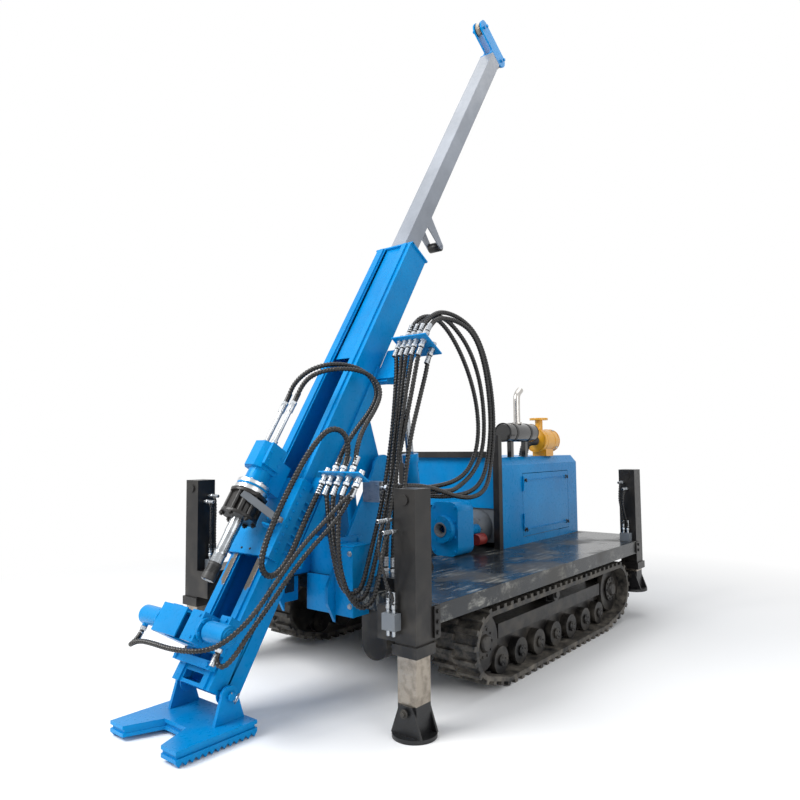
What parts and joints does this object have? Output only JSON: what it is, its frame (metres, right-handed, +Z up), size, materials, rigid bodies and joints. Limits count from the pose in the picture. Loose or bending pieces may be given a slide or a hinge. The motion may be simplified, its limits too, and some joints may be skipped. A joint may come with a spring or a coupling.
{
  "type": "core drilling rig on rubber tracks",
  "caption": "Drilling rig on rubber tracks with a leaning mast, sliding rotation head, grey boom, four stabiliser legs and an engine hood on a flat deck",
  "frame": {"origin": "on the ground under the middle of the machine's box", "axes": "X forward to the mast foot, Y to the machine's left, Z up"},
  "size_m": [4.755, 2.302, 5.8108],
  "materials": {
    "blue_paint": "gloss",
    "grey_paint": "satin",
    "black_paint": "satin",
    "yellow_paint": "gloss",
    "bare_steel": "rolled",
    "chrome": "polished",
    "track_rubber": "matte",
    "hose_rubber": "matte"
  },
  "bodies": {
    "chassis": {"track_left": "track_rubber", "track_right": "track_rubber", "rollers_left": "black_paint", "rollers_right": "black_paint", "undercarriage_frame": "black_paint", "deck": "black_paint", "leg_sleeves": "black_paint", "mast_tower": "blue_paint", "luff_lugs": "black_paint", "engine_hood": "blue_paint", "front_posts": "black_paint", "engine": "grey_paint", "bell_housing": "grey_paint", "pump_gearbox": "blue_paint", "muffler": "black_paint", "exhaust_pipe": "bare_steel", "air_cleaner": "yellow_paint", "control_console": "black_paint", "front_tank": "black_paint", "valve_block": "chrome", "hose_deck_1": "hose_rubber", "hose_deck_2": "hose_rubber"},
    "leg_fl": {"leg_front_left": "bare_steel"},
    "leg_fr": {"leg_front_right": "bare_steel"},
    "leg_rl": {"leg_rear_left": "bare_steel"},
    "leg_rr": {"leg_rear_right": "bare_steel"},
    "saddle": {"mast_saddle": "blue_paint", "hose_bracket_upper": "blue_paint"},
    "mast": {"mast_frame": "blue_paint", "clamp_box": "blue_paint", "clamp_cylinders": "blue_paint", "hose_bracket_lower": "blue_paint", "hose_loop_1": "hose_rubber", "hose_loop_2": "hose_rubber", "hose_loop_3": "hose_rubber", "hose_side": "hose_rubber", "hose_clamp": "hose_rubber", "hose_head_1": "hose_rubber", "hose_head_2": "hose_rubber"},
    "boom": {"mast_boom": "grey_paint", "crown_bracket": "blue_paint", "guide_arm": "grey_paint"},
    "guide_wheel": {"guide_roller": "black_paint"},
    "sheave_f": {"sheave_front": "black_paint"},
    "sheave_r": {"sheave_rear": "black_paint"},
    "head": {"head_carriage": "blue_paint", "head_gearbox": "blue_paint", "head_chuck": "black_paint", "head_ports": "chrome"},
    "spindle_shaft": {"spindle": "chrome"},
    "jaw_l": {"clamp_jaw_left": "blue_paint"},
    "jaw_r": {"clamp_jaw_right": "blue_paint"},
    "shoe": {"foot_shoe": "blue_paint"},
    "door_l": {"hood_door_left": "blue_paint"},
    "door_r": {"hood_door_right": "blue_paint"},
    "barrel_l": {"luff_barrel_left": "blue_paint"},
    "barrel_r": {"luff_barrel_right": "blue_paint"},
    "rod_l": {"luff_rod_left": "chrome"},
    "rod_r": {"luff_rod_right": "chrome"}
  },
  "joints": [
    {"name": "leg_slide_fl", "type": "slide", "parent": "chassis", "child": "leg_fl", "axis": [0, 0, -1], "range_m": [-0.24, 0.15]},
    {"name": "leg_slide_fr", "type": "slide", "parent": "chassis", "child": "leg_fr", "axis": [0, 0, -1], "range_m": [-0.24, 0.15]},
    {"name": "leg_slide_rl", "type": "slide", "parent": "chassis", "child": "leg_rl", "axis": [0, 0, -1], "range_m": [0, 0.39]},
    {"name": "leg_slide_rr", "type": "slide", "parent": "chassis", "child": "leg_rr", "axis": [0, 0, -1], "range_m": [0, 0.39]},
    {"name": "mast_luff", "type": "hinge", "parent": "chassis", "child": "saddle", "pos_m": [0.67876, 0, 1.44981], "axis": [0, 1, 0], "range_deg": [-57.8, 32.2], "deforming": ["hose_deck_1", "hose_deck_2", "hose_loop_1", "hose_loop_2", "hose_loop_3"]},
    {"name": "mast_slide", "type": "slide", "parent": "saddle", "child": "mast", "axis": [-0.5329, 0, 0.8462], "range_m": [0, 0.6], "deforming": ["hose_deck_1", "hose_deck_2", "hose_loop_1", "hose_loop_2", "hose_loop_3"]},
    {"name": "boom_slide", "type": "slide", "parent": "mast", "child": "boom", "axis": [-0.5329, 0, 0.8462], "range_m": [-0.3, 0]},
    {"name": "sheave_front_turn", "type": "hinge", "parent": "boom", "child": "sheave_f", "pos_m": [-1.16052, 0, 5.74421], "axis": [0, 1, 0], "continuous": true},
    {"name": "sheave_rear_turn", "type": "hinge", "parent": "boom", "child": "sheave_r", "pos_m": [-1.47954, 0, 5.54332], "axis": [0, 1, 0], "continuous": true},
    {"name": "guide_roller_turn", "type": "hinge", "parent": "boom", "child": "guide_wheel", "pos_m": [-0.34645, 0, 3.34618], "axis": [0, 1, 0], "continuous": true},
    {"name": "head_feed", "type": "slide", "parent": "mast", "child": "head", "axis": [-0.5329, 0, 0.8462], "range_m": [-0.12, 1.9], "deforming": ["hose_head_1", "hose_head_2"]},
    {"name": "spindle_turn", "type": "hinge", "parent": "head", "child": "spindle_shaft", "pos_m": [1.86217, 0, 1.00619], "axis": [-0.5329, 0, 0.8462], "continuous": true},
    {"name": "jaw_slide_l", "type": "slide", "parent": "mast", "child": "jaw_l", "axis": [0, -1, 0], "range_m": [0, 0.045]},
    {"name": "jaw_slide_r", "type": "slide", "parent": "mast", "child": "jaw_r", "axis": [0, 1, 0], "range_m": [0, 0.045]},
    {"name": "shoe_tilt", "type": "hinge", "parent": "mast", "child": "shoe", "pos_m": [1.974, 0, 0.224], "axis": [0, 1, 0], "range_deg": [-35, 35]},
    {"name": "door_left_hinge", "type": "hinge", "parent": "chassis", "child": "door_l", "pos_m": [-1.18686, 0.356, 1], "axis": [0, 0, 1], "range_deg": [-110, 0]},
    {"name": "door_right_hinge", "type": "hinge", "parent": "chassis", "child": "door_r", "pos_m": [-1.18686, -0.789, 1], "axis": [0, 0, 1], "range_deg": [0, 110]},
    {"name": "barrel_pin_l", "type": "hinge", "parent": "chassis", "child": "barrel_l", "pos_m": [0.35, 0.33, 0.8], "axis": [0, 1, 0], "range_deg": [-27.14, 15.12]},
    {"name": "rod_slide_l", "type": "slide", "parent": "barrel_l", "child": "rod_l", "axis": [0.1452, 0, 0.9894], "range_m": [-0.32272, 0.17978]},
    {"name": "barrel_pin_r", "type": "hinge", "parent": "chassis", "child": "barrel_r", "pos_m": [0.35, -0.33, 0.8], "axis": [0, 1, 0], "range_deg": [-27.14, 15.12]},
    {"name": "rod_slide_r", "type": "slide", "parent": "barrel_r", "child": "rod_r", "axis": [0.1452, 0, 0.9894], "range_m": [-0.32272, 0.17978]}
  ],
  "couplings": [
    {"joint": "barrel_pin_l", "follows": "mast_luff", "ratio": 0.4696},
    {"joint": "rod_slide_l", "follows": "mast_luff", "m_per_rad": 0.3199},
    {"joint": "barrel_pin_r", "follows": "mast_luff", "ratio": 0.4696},
    {"joint": "rod_slide_r", "follows": "mast_luff", "m_per_rad": 0.3199}
  ]
}
